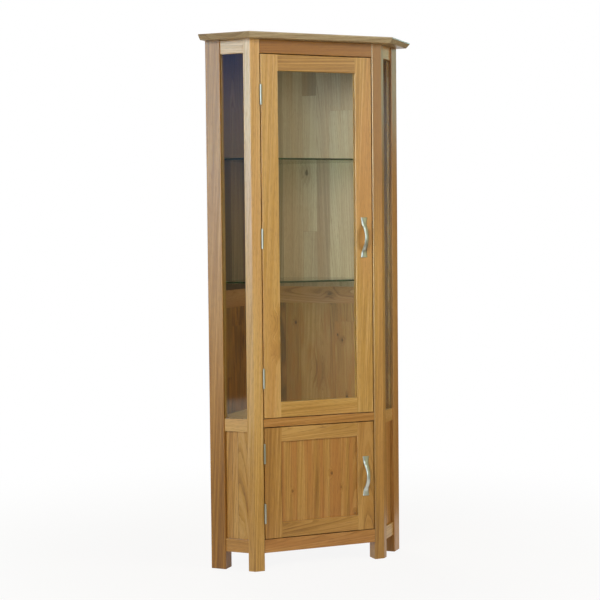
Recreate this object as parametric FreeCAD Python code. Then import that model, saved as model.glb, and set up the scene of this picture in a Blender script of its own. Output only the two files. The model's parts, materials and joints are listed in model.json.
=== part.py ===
# Corner display cabinet in solid oak: glazed upper door, panelled lower door, glazed returns at 45 degrees.
# X runs to the right, Y to the back, Z up. The origin is on the floor, in the middle of the overall box.
import FreeCAD, Part
import math
import os

from FreeCAD import Vector

# Overall plan and height
HEIGHT = 1800.0
FRONT_W = 480.0  # between the two blunt front corners
RETURN_L = 165.0  # each return, from the blunt corner to the wall

# Top slab
SLAB_T = 18.0
SLAB_OVERHANG = 50.0
SLAB_BEVEL = 14.0
SLAB_ROUND = 1.5

# Posts
POST_FACE = 35.0
POST_RETURN = 26.0
POST_DEPTH = 44.0
POST_ARRIS = 5.0
EDGE_ROUND = 2.0
REAR_POST_FACE = 54.0
REAR_POST_DEPTH = 46.0
BACK_POST_SIDE = 44.0
BACK_POST_FLAT = 28.0

# Rails of the carcass
RAIL_T = 22.0
RAIL_ROUND = 1.5
SIDE_RAIL_T = 24.0
TOP_RAIL_H = 46.0
MID_RAIL_H = 28.0
SIDE_MID_RAIL_H = 43.0
BOTTOM_RAIL_H = 45.0
MID_RAIL_TOP = 514.0
LEG_CLEAR = 60.0
FRIEZE_SETBACK = 3.0
RAIL_SETBACK = 1.0
SIDE_RAIL_SETBACK = 5.0
TENON_L = 18.0
TENON_T = 9.0
TENON_SHOULDER = 9.0  # more than SEAT, so that no tenon meets a pane or a panel
TENON_SPARE = 1.0

# Panels, glass and beads of the carcass
SIDE_GLASS_SETBACK = 10.0
SIDE_PANEL_SETBACK = 14.0
GLASS_T = 4.0
PANEL_T = 10.0
SEAT = 8.0  # how far glass and panels reach into their frames
SEAT_SPARE = 1.0
BEAD_T = 9.0
BEAD_ROUND = 3.0
BACK_PANEL_T = 12.0
BACK_PANEL_SETBACK = 4.0
BACK_RAIL_T = 18.0
BACK_RAIL_H = 60.0
BACK_RAIL_Z = 882.0

# Boards and their cleats
FLOOR_T = 15.0
MIDDLE_T = 20.0
BOARD_PLAY = 0.5
CLEAT = 15.0
CLEAT_END_GAP = 12.0

# Glass shelves and pegs
SHELF_T = 6.0
SHELF_LOW_Z = 969.0
SHELF_HIGH_Z = 1386.0
SHELF_PLAY = 2.0
PEG_R = 2.5
PEG_COLLAR_R = 4.5
PEG_COLLAR_T = 1.5
PEG_IN = 9.0
PEG_OUT = 12.0
PEG_INSET = 6.0

# Doors
DOOR_T = 22.0
DOOR_GAP = 3.0
DOOR_SETBACK = 1.0
STILE_W = 61.0
UPPER_TOP_RAIL_W = 54.0
UPPER_BOTTOM_RAIL_W = 52.0
LOWER_TOP_RAIL_W = 49.0
LOWER_BOTTOM_RAIL_W = 52.0
DOOR_TENON_L = 35.0
DOOR_TENON_T = 6.0
DOOR_ARRIS = 2.5
DOOR_GLASS_SETBACK = 8.0
DOOR_PANEL_SETBACK = 7.0

# Butt hinges
HINGE_L = 65.0
HINGE_PROUD = 2.6  # pin axis in front of the posts' faces
KNUCKLE_R = 3.5
KNUCKLES = 5
KNUCKLE_GAP = 0.3
PIN_R = 1.6
PIN_PLAY = 0.05
PIN_HEAD_R = 2.6
PIN_HEAD_T = 1.5
LEAF_T = 1.2
LEAF_REACH = 18.0
HINGE_SCREW_R = 1.6
HINGE_SCREW_L = 16.0
HINGE_SCREW_HEAD_R = 3.0
HINGE_SCREW_HEAD_T = 1.0
HINGE_SCREW_INSET = 16.0
UPPER_HINGE_INSET = 134.0
LOWER_HINGE_INSET = 86.0
UPPER_MIDDLE_DROP = 5.0  # the middle hinge and the handle sit a little below the door's middle

# Bow handles
HANDLE_L = 137.0
HANDLE_RISE = 27.0
HANDLE_MID_T = 5.0
HANDLE_FOOT_L = 12.0  # the flat front of each foot
HANDLE_FOOT_T = 4.5
HANDLE_FOOT_W = 24.0
HANDLE_MID_W = 12.0
HANDLE_HOLLOW_SHARE = 0.3  # of the sum of both radii of its S curve
HANDLE_ROUND = 1.5
HANDLE_SCREW_R = 2.0
HANDLE_SCREW_BITE = 3.5
HANDLE_SCREW_HEAD_R = 4.0
HANDLE_SCREW_HEAD_T = 2.5

# Magnetic catches
CATCH_L = 42.0
CATCH_H = 14.0
CATCH_DEPTH = 15.0
CATCH_GAP = 0.3
CATCH_ROUND = 2.0
CATCH_RISE = 130.0  # from a door's lower edge to its catch
PLATE_L = 36.0
PLATE_H = 11.0
PLATE_T = 1.2
PLATE_INSET = 1.5

OVERRUN = 10.0  # how far a cutting tool runs past what it cuts
RETURN_TURN = 45.0  # degrees; the walls meet at a right angle only at this turn
FIT_TOLERANCE = 0.01

# Values that follow from the ones above
ROOT2 = math.sqrt(2)
HALF_FRONT = FRONT_W / 2
REAR_X = HALF_FRONT + RETURN_L / ROOT2
CARCASS_DEPTH = REAR_X + RETURN_L / ROOT2
WALL_L = REAR_X * ROOT2
FRONT_Y = (SLAB_OVERHANG - CARCASS_DEPTH) / 2
BACK_Y = FRONT_Y + CARCASS_DEPTH
SLAB_Z = HEIGHT - SLAB_T
OPENING_HALF = HALF_FRONT - POST_FACE
TOP_RAIL_Z = SLAB_Z - TOP_RAIL_H
MID_RAIL_Z = MID_RAIL_TOP - MID_RAIL_H
SIDE_MID_RAIL_Z = MID_RAIL_TOP - SIDE_MID_RAIL_H
BOTTOM_RAIL_TOP = LEG_CLEAR + BOTTOM_RAIL_H
RETURN_OPENING_END = RETURN_L - REAR_POST_FACE
RAIL_BACK = RAIL_SETBACK + RAIL_T
SIDE_RAIL_BACK = SIDE_RAIL_SETBACK + SIDE_RAIL_T
PANEL_BACK = BACK_PANEL_SETBACK + BACK_PANEL_T
BACK_INSIDE = max(PANEL_BACK, BACK_RAIL_T)
BACK_POST_CHAMFER = BACK_POST_FLAT / ROOT2
BACK_FLAT_Y = BACK_Y - BACK_POST_SIDE * ROOT2 + BACK_POST_FLAT / 2
DOOR_HALF = OPENING_HALF - DOOR_GAP
DOOR_Y = FRONT_Y + DOOR_SETBACK
DOOR_BACK_Y = DOOR_Y + DOOR_T
PIN_X = -OPENING_HALF + DOOR_GAP / 2
PIN_Y = FRONT_Y - HINGE_PROUD
DOOR_OPENING_HALF = DOOR_HALF - STILE_W
LATCH_STILE_X = DOOR_HALF - STILE_W / 2
UP = Vector(0, 0, 1)
CENTRE = Vector(0, 0, 0)


# Small tools for shapes
def box(x, y, z, dx, dy, dz):
    return Part.makeBox(dx, dy, dz, Vector(x, y, z))


def prism(points, z, height):
    corners = [Vector(x, y, z) for x, y in points]
    return Part.Face(Part.makePolygon(corners + corners[:1])).extrude(Vector(0, 0, height))


def rod(radius, length, start, direction):
    return Part.makeCylinder(radius, length, start, direction)


def join(shapes):
    result = shapes[0]
    for shape in shapes[1:]:
        result = result.fuse(shape)
    return result.removeSplitter()


def cut_all(shape, tools):
    for tool in tools:
        shape = shape.cut(tool)
    return shape


def mirrored(shape):
    return shape.mirror(CENTRE, Vector(1, 0, 0))


def round_edges(shape, axis, places, radius):
    """Rounds the edges along axis (0, 1, 2 for X, Y, Z) that pass through these places of the other two."""
    others = [n for n in (0, 1, 2) if n != axis]
    picked = []
    for edge in shape.Edges:
        a, b = edge.Vertexes[0].Point, edge.Vertexes[-1].Point
        ends = [math.hypot(p[others[0]] - u, p[others[1]] - v) for p in (a, b) for u, v in places]
        straight = math.hypot(a[others[0]] - b[others[0]], a[others[1]] - b[others[1]])
        if straight < FIT_TOLERANCE and min(ends) < FIT_TOLERANCE:
            picked.append(edge)
    return shape.makeFillet(radius, picked)


# The left return has its own frame: first value into the cabinet, second along the return, third up.
def to_left_return(shape):
    shape = shape.copy()
    shape.rotate(CENTRE, UP, RETURN_TURN)
    shape.translate(Vector(-HALF_FRONT, FRONT_Y, 0))
    return shape


def left_return_point(inward, along):
    return (-HALF_FRONT + (inward - along) / ROOT2, FRONT_Y + (inward + along) / ROOT2)


def plan(front, side, wall, back_flat=None):
    """The cabinet's plan, set in from front, returns and walls, with the back corner cut off if asked."""
    left = [(side * ROOT2 - HALF_FRONT - front, FRONT_Y + front), left_return_point(side, RETURN_L - wall)]
    back_y = BACK_Y - wall * ROOT2
    if back_flat is None:
        return left + [(0, back_y)] + [(-x, y) for x, y in reversed(left)]
    left.append((back_flat - back_y, back_flat))
    return left + [(-x, y) for x, y in reversed(left)]


def bead_ring(low, high, front):
    """Four mitred beads that fill a rebate behind a pane, with their inner back edges rounded."""
    (x0, z0), (x1, z1) = low, high
    outer = [(x0, z0), (x1, z0), (x1, z1), (x0, z1)]
    inner = [(x0 + SEAT, z0 + SEAT), (x1 - SEAT, z0 + SEAT), (x1 - SEAT, z1 - SEAT), (x0 + SEAT, z1 - SEAT)]
    back = front + BEAD_T
    beads = []
    for n, start in enumerate(outer):
        after = (n + 1) % len(outer)
        corners = [Vector(x, front, z) for x, z in (start, outer[after], inner[after], inner[n])]
        bead = Part.Face(Part.makePolygon(corners + corners[:1])).extrude(Vector(0, BEAD_T, 0))
        x, z = inner[n]
        level = z == inner[after][1]
        beads.append(round_edges(bead, 0 if level else 2, [(back, z) if level else (x, back)], BEAD_ROUND))
    return Part.makeCompound(beads)


# Rails between the front posts
def front_rail(z, height, setback):
    """A rail with a tenon at each end, and the two mortises that take them."""
    y = FRONT_Y + setback
    tenon_y = y + (RAIL_T - TENON_T) / 2
    tenon_z = z + TENON_SHOULDER
    tenon_h = height - TENON_SHOULDER - TENON_SHOULDER
    rail = box(-OPENING_HALF, y, z, OPENING_HALF + OPENING_HALF, RAIL_T, height)
    edges = [(y, z), (y, z + height)]
    rail = round_edges(rail, 0, edges, RAIL_ROUND)
    half = OPENING_HALF + TENON_L
    tenons = box(-half, tenon_y, tenon_z, half + half, TENON_T, tenon_h)
    half += TENON_SPARE
    mortises = box(-half, tenon_y, tenon_z, half + half, TENON_T, tenon_h)
    return join([rail, tenons]), mortises


# Rails of the left return, in its own frame
def side_rail(z, height):
    """A return's rail with a tenon at each end, and the two mortises that take them."""
    tenon_x = SIDE_RAIL_SETBACK + (SIDE_RAIL_T - TENON_T) / 2
    tenon_z = z + TENON_SHOULDER
    tenon_h = height - TENON_SHOULDER - TENON_SHOULDER
    length = RETURN_OPENING_END - POST_RETURN
    rail = box(SIDE_RAIL_SETBACK, POST_RETURN, z, SIDE_RAIL_T, length, height)
    rail = round_edges(rail, 1, [(SIDE_RAIL_SETBACK, z), (SIDE_RAIL_SETBACK, z + height)], RAIL_ROUND)
    start = POST_RETURN - TENON_L
    tenons = box(tenon_x, start, tenon_z, TENON_T, length + TENON_L + TENON_L, tenon_h)
    start -= TENON_SPARE
    spare = TENON_L + TENON_SPARE
    mortises = box(tenon_x, start, tenon_z, TENON_T, length + spare + spare, tenon_h)
    return join([rail, tenons]), mortises


# The left return's glass, beads and panel, with the rebate and the groove that hold them
def return_pane(setback, thickness, z, top):
    """A sheet that reaches into the posts and rails around it, a little short of the seats' ends."""
    reach = SEAT - SEAT_SPARE
    length = RETURN_OPENING_END - POST_RETURN + reach + reach
    height = top - z + reach + reach
    return box(setback, POST_RETURN - reach, z - reach, thickness, length, height)


def return_seat(setback, thickness, z, top):
    length = RETURN_OPENING_END - POST_RETURN + SEAT + SEAT
    height = top - z + SEAT + SEAT
    return box(setback, POST_RETURN - SEAT, z - SEAT, thickness, length, height)


# Posts
def front_post_outline(play):
    depth, face = POST_DEPTH + play, POST_RETURN + play
    return [
        (-OPENING_HALF + play, FRONT_Y),
        (-HALF_FRONT, FRONT_Y),
        left_return_point(0, face),
        (-HALF_FRONT + depth - face * ROOT2, FRONT_Y + depth),
        (-OPENING_HALF + play, FRONT_Y + depth),
    ]


def front_post():
    outline = front_post_outline(0)
    post = prism(outline, 0, SLAB_Z)
    post = round_edges(post, 2, outline[:1], POST_ARRIS)
    return round_edges(post, 2, outline[1:3], EDGE_ROUND)


def rear_post():
    """The post at the wall end of the left return, in the return's frame."""
    post = box(0, RETURN_OPENING_END, 0, REAR_POST_DEPTH, REAR_POST_FACE, SLAB_Z)
    return round_edges(post, 2, [(0, RETURN_OPENING_END), (0, RETURN_L)], EDGE_ROUND)


def back_post():
    """The square post in the back corner, with its inner corner planed flat, in the left return's frame."""
    near, side = WALL_L - BACK_POST_SIDE, RETURN_L - BACK_POST_SIDE
    outline = [
        (near, RETURN_L),
        (WALL_L, RETURN_L),
        (WALL_L, side),
        (near + BACK_POST_CHAMFER, side),
        (near, side + BACK_POST_CHAMFER),
    ]
    return prism(outline, 0, SLAB_Z)


# Panels and rail on the left wall, in the left return's frame
def back_sheet(low, high, reach):
    """A sheet in the line of the back panels that reaches into both posts."""
    start = REAR_POST_DEPTH - reach
    length = WALL_L - BACK_POST_SIDE + reach - start
    return box(start, RETURN_L - PANEL_BACK, low, length, BACK_PANEL_T, high - low)


def back_rail():
    """The rail between the two back panels: a tongue into each post's groove, grooves for both panels."""
    top, reach = BACK_RAIL_Z + BACK_RAIL_H, SEAT - SEAT_SPARE
    length = WALL_L - BACK_POST_SIDE - REAR_POST_DEPTH
    rail = box(REAR_POST_DEPTH, RETURN_L - BACK_RAIL_T, BACK_RAIL_Z, length, BACK_RAIL_T, BACK_RAIL_H)
    rail = join([rail, back_sheet(BACK_RAIL_Z + SEAT, top - SEAT, reach)])
    grooves = [back_sheet(BACK_RAIL_Z, BACK_RAIL_Z + SEAT, SEAT), back_sheet(top - SEAT, top, SEAT)]
    return cut_all(rail, grooves)


# Boards
def board(z, thickness):
    """A board that fills the plan behind the front rails, notched round the posts."""
    outline = plan(RAIL_BACK, SIDE_RAIL_BACK + BOARD_PLAY, PANEL_BACK + BOARD_PLAY,
                   BACK_FLAT_Y - BOARD_PLAY)
    low, high = z - thickness, thickness
    front = prism(front_post_outline(BOARD_PLAY), low, high)
    rear = box(0, RETURN_OPENING_END - BOARD_PLAY, low, REAR_POST_DEPTH + BOARD_PLAY, REAR_POST_FACE, high)
    rear = to_left_return(rear)
    return cut_all(prism(outline, low, high), [front, mirrored(front), rear, mirrored(rear)])


def left_cleats(z):
    """Strips on the left return's rail and on the left wall, with their tops at z."""
    low = z - CLEAT
    rail_l = RETURN_OPENING_END - POST_RETURN - CLEAT_END_GAP - CLEAT_END_GAP
    wall_start = REAR_POST_DEPTH + CLEAT_END_GAP
    wall_l = WALL_L - BACK_POST_SIDE - CLEAT_END_GAP - wall_start
    return [
        to_left_return(box(SIDE_RAIL_BACK, POST_RETURN + CLEAT_END_GAP, low, CLEAT, rail_l, CLEAT)),
        to_left_return(box(wall_start, RETURN_L - PANEL_BACK - CLEAT, low, wall_l, CLEAT, CLEAT)),
    ]


def cleats():
    floor_z, middle_z = BOTTOM_RAIL_TOP - FLOOR_T, MID_RAIL_TOP - MIDDLE_T
    left = left_cleats(floor_z) + left_cleats(middle_z)
    half = OPENING_HALF - CLEAT_END_GAP
    front = box(-half, FRONT_Y + RAIL_BACK, floor_z - CLEAT, half + half, CLEAT, CLEAT)
    return left + [mirrored(strip) for strip in left] + [front]


# Glass shelves and their pegs
def glass_shelf(z):
    outline = plan(POST_DEPTH + SHELF_PLAY, REAR_POST_DEPTH + SHELF_PLAY, BACK_INSIDE + SHELF_PLAY,
                   BACK_FLAT_Y - SHELF_PLAY)
    return prism(outline, z, SHELF_T)


def peg(face_x, face_y, z, direction):
    """A peg that sits in a post's face and carries a shelf whose underside is at z."""
    face = Vector(face_x, face_y, z - PEG_R)
    pin = rod(PEG_R, PEG_IN + PEG_OUT, face - direction * PEG_IN, direction)
    return join([pin, rod(PEG_COLLAR_R, PEG_COLLAR_T, face, direction)])


def pegs_for_shelf(z):
    front = peg(-OPENING_HALF - PEG_INSET, FRONT_Y + POST_DEPTH, z, Vector(0, 1, 0))
    along = (RETURN_OPENING_END + RETURN_L - PANEL_BACK) / 2
    rear_x, rear_y = left_return_point(REAR_POST_DEPTH, along)
    rear = peg(rear_x, rear_y, z, Vector(1 / ROOT2, 1 / ROOT2, 0))
    back = peg(0, BACK_FLAT_Y, z, Vector(0, -1, 0))
    return [front, mirrored(front), rear, mirrored(rear), back]


# Top slab
def top_slab():
    """The overhanging top: bevelled below on the front and the returns, flush with the walls behind."""
    levels = [
        (SLAB_Z, SLAB_OVERHANG - SLAB_BEVEL),
        (SLAB_Z + SLAB_BEVEL, SLAB_OVERHANG),
        (HEIGHT, SLAB_OVERHANG),
    ]
    wires = []
    for z, overhang in levels:
        corners = [Vector(x, y, z) for x, y in plan(-overhang, -overhang, 0)]
        wires.append(Part.makePolygon(corners + corners[:1]))
    slab = Part.makeLoft(wires, True, True)
    rounded = []
    for edge in slab.Edges:
        a, b = edge.Vertexes[0].Point, edge.Vertexes[-1].Point
        on_top = min(a.z, b.z) > HEIGHT - FIT_TOLERANCE
        if on_top and max(a.y, b.y) < BACK_Y - FIT_TOLERANCE:
            rounded.append(edge)
    return slab.makeFillet(SLAB_ROUND, rounded)


# Butt hinges on the doors' left edge
def hinge_leaf(z, side, knuckles):
    """A leaf on one side of the gap (-1 post, 1 door) with its share of the knuckles."""
    plate_x = PIN_X - DOOR_GAP / 2 if side < 0 else PIN_X + DOOR_GAP / 2 - LEAF_T
    plate_y = PIN_Y + KNUCKLE_R + KNUCKLE_GAP
    web_y = PIN_Y + KNUCKLE_R / 2
    low = z - HINGE_L / 2
    pitch = HINGE_L / KNUCKLES
    pieces = [box(plate_x, plate_y, low, LEAF_T, FRONT_Y + LEAF_REACH - plate_y, HINGE_L)]
    for n in knuckles:
        start = low + n * pitch + KNUCKLE_GAP / 2
        length = pitch - KNUCKLE_GAP
        pieces.append(rod(KNUCKLE_R, length, Vector(PIN_X, PIN_Y, start), UP))
        pieces.append(box(plate_x, web_y, start, LEAF_T, plate_y - web_y + LEAF_T, length))
    bore = rod(PIN_R + PIN_PLAY, HINGE_L, Vector(PIN_X, PIN_Y, low), UP)
    return cut_all(join(pieces).cut(bore), hinge_screws(z, side))


def hinge_pin(z):
    low = z - HINGE_L / 2 + KNUCKLE_GAP / 2
    high = z + HINGE_L / 2 - KNUCKLE_GAP / 2
    return join([
        rod(PIN_R, high - low, Vector(PIN_X, PIN_Y, low), UP),
        rod(PIN_HEAD_R, PIN_HEAD_T, Vector(PIN_X, PIN_Y, high), UP),
        rod(PIN_HEAD_R, PIN_HEAD_T, Vector(PIN_X, PIN_Y, low), Vector(0, 0, -1)),
    ])


def hinge_screws(z, side):
    """The two countersunk screws of one leaf, flush with its inner face."""
    into = Vector(side, 0, 0)
    plate_y = PIN_Y + KNUCKLE_R + KNUCKLE_GAP
    y = (plate_y + FRONT_Y + LEAF_REACH) / 2
    x = PIN_X + side * (DOOR_GAP / 2 - LEAF_T)
    reach = HINGE_L / 2 - HINGE_SCREW_INSET
    screws = []
    for screw_z in (z - reach, z + reach):
        start = Vector(x, y, screw_z)
        head = Part.makeCone(HINGE_SCREW_HEAD_R, HINGE_SCREW_R, HINGE_SCREW_HEAD_T, start, into)
        screws.append(join([head, rod(HINGE_SCREW_R, HINGE_SCREW_L, start, into)]))
    return screws


# Doors
def door_frame(low, high, top_w, bottom_w):
    """Two stiles and two rails, with mortises, tenons and softened edges, by short names."""
    height = high - low
    open_low, open_high = low + bottom_w, high - top_w
    stile = box(-DOOR_HALF, DOOR_Y, low, STILE_W, DOOR_T, height)
    stile = round_edges(stile, 2, [(-DOOR_HALF, DOOR_Y)], EDGE_ROUND)
    corner_x = -DOOR_OPENING_HALF - DOOR_ARRIS
    corner_y = DOOR_Y + DOOR_ARRIS
    arris = box(corner_x, DOOR_Y - OVERRUN, open_low, DOOR_ARRIS + OVERRUN, DOOR_ARRIS + OVERRUN,
                open_high - open_low)
    arris = arris.cut(rod(DOOR_ARRIS, open_high - open_low, Vector(corner_x, corner_y, open_low), UP))
    stile = stile.cut(arris)
    rails, mortises = [], []
    half = DOOR_OPENING_HALF
    for z, width, inner in ((open_high, top_w, open_high), (low, bottom_w, open_low)):
        rail = box(-half, DOOR_Y, z, half + half, DOOR_T, width)
        outer = z + width if inner == z else z
        rail = round_edges(rail, 0, [(DOOR_Y, inner)], DOOR_ARRIS)
        rail = round_edges(rail, 0, [(DOOR_Y, outer)], EDGE_ROUND)
        tenon_y = DOOR_Y + (DOOR_T - DOOR_TENON_T) / 2
        tenon_z, tenon_h = z + TENON_SHOULDER, width - TENON_SHOULDER - TENON_SHOULDER
        reach = half + DOOR_TENON_L
        rails.append(join([rail, box(-reach, tenon_y, tenon_z, reach + reach, DOOR_TENON_T, tenon_h)]))
        reach += TENON_SPARE
        mortises.append(box(-reach, tenon_y, tenon_z, reach + reach, DOOR_TENON_T, tenon_h))
    stile = cut_all(stile, mortises)
    frame = {"hinge_stile": stile, "latch_stile": mirrored(stile)}
    frame["top_rail"], frame["bottom_rail"] = rails
    return frame


def door_sheet(low, high, setback, thickness, reach):
    """A sheet in the door's opening that reaches into the frame all round."""
    half = DOOR_OPENING_HALF + reach
    return box(-half, DOOR_Y + setback, low - reach, half + half, thickness, high - low + reach + reach)


def bow_handle(z):
    """A bow on two flat feet: it rises from each in an S curve, wide at the feet and slim in the middle."""
    half, flat = HANDLE_L / 2, HANDLE_L / 2 - HANDLE_FOOT_L
    rise = HANDLE_RISE - HANDLE_FOOT_T
    radii = (flat ** 2 + rise ** 2) / (2 * rise)
    hollow = radii * HANDLE_HOLLOW_SHARE
    crown = radii - hollow
    turn = math.asin(flat / radii)
    x = LATCH_STILE_X - HANDLE_FOOT_W / 2

    def point(rise, up):
        return Vector(x, DOOR_Y - rise, z + up)

    def hollow_point(skin, angle, end):
        radius = hollow + skin
        rise = HANDLE_FOOT_T + hollow - radius * math.cos(angle)
        return point(rise, end * (flat - radius * math.sin(angle)))

    def crown_point(skin, angle):
        radius = crown - skin
        return point(HANDLE_RISE - crown + radius * math.cos(angle), radius * math.sin(angle))

    def curves(skin, start):
        """The crown and the hollow at each end of it, skin behind the front; a hollow ends at this angle."""
        arcs = [Part.Arc(*[crown_point(skin, angle) for angle in (-turn, 0, turn)])]
        for end in (-1, 1):
            stops = (start, (start + turn) / 2, turn)
            arcs.append(Part.Arc(*[hollow_point(skin, angle, end) for angle in stops]))
        return [arc.toShape() for arc in arcs]

    heel = math.acos(min(1, (HANDLE_FOOT_T + hollow) / (HANDLE_MID_T + hollow)))
    edges = curves(0, 0) + curves(HANDLE_MID_T, heel)
    for end in (-1, 1):
        outline = [hollow_point(0, 0, end), point(HANDLE_FOOT_T, end * half), point(0, end * half),
                   hollow_point(HANDLE_MID_T, heel, end)]
        edges += [Part.makeLine(a, b) for a, b in zip(outline, outline[1:])]
    side = Part.Face(Part.Wire(Part.__sortEdges__(edges)))
    bow = side.extrude(Vector(HANDLE_FOOT_W, 0, 0))

    def front_point(wide, up):
        return Vector(LATCH_STILE_X + wide, DOOR_Y, z + up)

    wide, slim = HANDLE_FOOT_W / 2, HANDLE_MID_W / 2
    right = Part.Arc(front_point(wide, -half), front_point(slim, 0), front_point(wide, half)).toShape()
    left = Part.Arc(front_point(-wide, half), front_point(-slim, 0), front_point(-wide, -half)).toShape()
    ends = [
        Part.makeLine(front_point(wide, half), front_point(-wide, half)),
        Part.makeLine(front_point(-wide, -half), front_point(wide, -half)),
    ]
    front = Part.Face(Part.Wire([right, ends[0], left, ends[1]]))
    bow = bow.common(front.extrude(Vector(0, -HANDLE_RISE - OVERRUN, 0)))
    proud = [edge for edge in bow.Edges if edge.CenterOfMass.y < DOOR_Y - HANDLE_ROUND]
    return bow.makeFillet(HANDLE_ROUND, [edge for edge in proud if edge.Length > HANDLE_FOOT_W])


def handle_screws(z):
    reach = (HANDLE_L - HANDLE_FOOT_L) / 2
    forward = Vector(0, -1, 0)
    screws = []
    for screw_z in (z - reach, z + reach):
        start = Vector(LATCH_STILE_X, DOOR_BACK_Y, screw_z)
        shank = rod(HANDLE_SCREW_R, DOOR_T + HANDLE_SCREW_BITE, start, forward)
        screws.append(join([shank, rod(HANDLE_SCREW_HEAD_R, HANDLE_SCREW_HEAD_T, start, Vector(0, 1, 0))]))
    return screws


# Magnetic catches on the right front post, each behind its door's latch stile
def catch(z):
    y = DOOR_BACK_Y + PLATE_T + CATCH_GAP
    x = OPENING_HALF - CATCH_H
    body = box(x, y, z - CATCH_L / 2, CATCH_H, CATCH_DEPTH, CATCH_L)
    return round_edges(body, 2, [(x, y + CATCH_DEPTH)], CATCH_ROUND)


def catch_plate(z):
    return box(DOOR_HALF - PLATE_INSET - PLATE_H, DOOR_BACK_Y, z - PLATE_L / 2, PLATE_H, PLATE_T, PLATE_L)


# Everything together
def build():
    parts = {}

    for name, z, height, setback in (
        ("front_top_rail", TOP_RAIL_Z, TOP_RAIL_H, FRIEZE_SETBACK),
        ("front_mid_rail", MID_RAIL_Z, MID_RAIL_H, RAIL_SETBACK),
        ("front_bottom_rail", LEG_CLEAR, BOTTOM_RAIL_H, RAIL_SETBACK),
    ):
        parts[name], parts[name + "_mortises"] = front_rail(z, height, setback)
    front_mortises = [parts.pop(name) for name in list(parts) if name.endswith("_mortises")]

    glass_z = (MID_RAIL_TOP, TOP_RAIL_Z)
    panel_z = (BOTTOM_RAIL_TOP, SIDE_MID_RAIL_Z)
    rebate = return_seat(SIDE_GLASS_SETBACK, REAR_POST_DEPTH, *glass_z)
    groove = return_seat(SIDE_PANEL_SETBACK, PANEL_T, *panel_z)
    side_tools = [rebate, groove]
    side_rails = {}
    for name, z, height in (
        ("side_top_rail", TOP_RAIL_Z, TOP_RAIL_H),
        ("side_mid_rail", SIDE_MID_RAIL_Z, SIDE_MID_RAIL_H),
        ("side_bottom_rail", LEG_CLEAR, BOTTOM_RAIL_H),
    ):
        rail, mortises = side_rail(z, height)
        side_rails[name] = cut_all(rail, [rebate, groove])
        side_tools.append(mortises)
    rebate_low = (POST_RETURN - SEAT, MID_RAIL_TOP - SEAT)
    rebate_high = (RETURN_OPENING_END + SEAT, TOP_RAIL_Z + SEAT)
    beads = bead_ring(rebate_low, rebate_high, SIDE_GLASS_SETBACK + GLASS_T).mirror(CENTRE, Vector(1, -1, 0))
    left = dict(side_rails)
    left["side_glass"] = return_pane(SIDE_GLASS_SETBACK, GLASS_T, *glass_z)
    left["side_panel"] = return_pane(SIDE_PANEL_SETBACK, PANEL_T, *panel_z)
    reach = SEAT - SEAT_SPARE
    rail_top = BACK_RAIL_Z + BACK_RAIL_H
    left["back_rail"] = back_rail()
    left["back_panel_upper"] = back_sheet(rail_top - reach, SLAB_Z, reach)
    left["back_panel_lower"] = back_sheet(LEG_CLEAR, BACK_RAIL_Z + reach, reach)
    back_groove = back_sheet(LEG_CLEAR, SLAB_Z, SEAT)
    shelf_pegs = pegs_for_shelf(SHELF_LOW_Z) + pegs_for_shelf(SHELF_HIGH_Z)
    rear = cut_all(rear_post(), side_tools + [back_groove])
    left = {name: to_left_return(shape) for name, shape in left.items()}
    left["rear_post"] = cut_all(to_left_return(rear), shelf_pegs)
    side_tools = [to_left_return(tool) for tool in side_tools]
    left["front_post"] = cut_all(front_post(), side_tools + front_mortises + shelf_pegs)
    for name, shape in left.items():
        parts[name + "_left"] = shape
        parts[name + "_right"] = mirrored(shape)
    back_groove = to_left_return(back_groove)
    back_tools = [back_groove, mirrored(back_groove)] + shelf_pegs
    parts["back_post"] = cut_all(to_left_return(back_post()), back_tools)
    parts["side_glass_beads_left"] = to_left_return(beads)
    parts["side_glass_beads_right"] = mirrored(parts["side_glass_beads_left"])

    parts["top_slab"] = top_slab()
    parts["floor_board"] = board(BOTTOM_RAIL_TOP, FLOOR_T)
    parts["middle_board"] = board(MID_RAIL_TOP, MIDDLE_T)
    parts["board_cleats"] = Part.makeCompound(cleats())
    parts["glass_shelf_lower"] = glass_shelf(SHELF_LOW_Z)
    parts["glass_shelf_upper"] = glass_shelf(SHELF_HIGH_Z)
    parts["shelf_pegs"] = Part.makeCompound(shelf_pegs)

    doors = {
        "upper_door": (MID_RAIL_TOP, TOP_RAIL_Z, UPPER_TOP_RAIL_W, UPPER_BOTTOM_RAIL_W),
        "lower_door": (BOTTOM_RAIL_TOP, MID_RAIL_Z, LOWER_TOP_RAIL_W, LOWER_BOTTOM_RAIL_W),
    }
    post_screws, pins = [], []
    for door, (floor_z, ceiling_z, top_w, bottom_w) in doors.items():
        low, high = floor_z + DOOR_GAP, ceiling_z - DOOR_GAP
        middle = (low + high) / 2
        glazed = door == "upper_door"
        if glazed:
            middle -= UPPER_MIDDLE_DROP
            hinges = [high - UPPER_HINGE_INSET, middle, low + UPPER_HINGE_INSET]
        else:
            hinges = [high - LOWER_HINGE_INSET, low + LOWER_HINGE_INSET]
        leaves = {-1: [], 1: []}
        door_screws = []
        for z in hinges:
            leaves[-1].append(hinge_leaf(z, -1, range(0, KNUCKLES, 2)))
            leaves[1].append(hinge_leaf(z, 1, range(1, KNUCKLES, 2)))
            post_screws += hinge_screws(z, -1)
            door_screws += hinge_screws(z, 1)
            pins.append(hinge_pin(z))
        for side, place in ((-1, "post"), (1, "door")):
            parts[door.replace("door", "hinge") + f"_{place}_leaves"] = Part.makeCompound(leaves[side])
        parts[door + "_hinge_screws"] = Part.makeCompound(door_screws)

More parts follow.
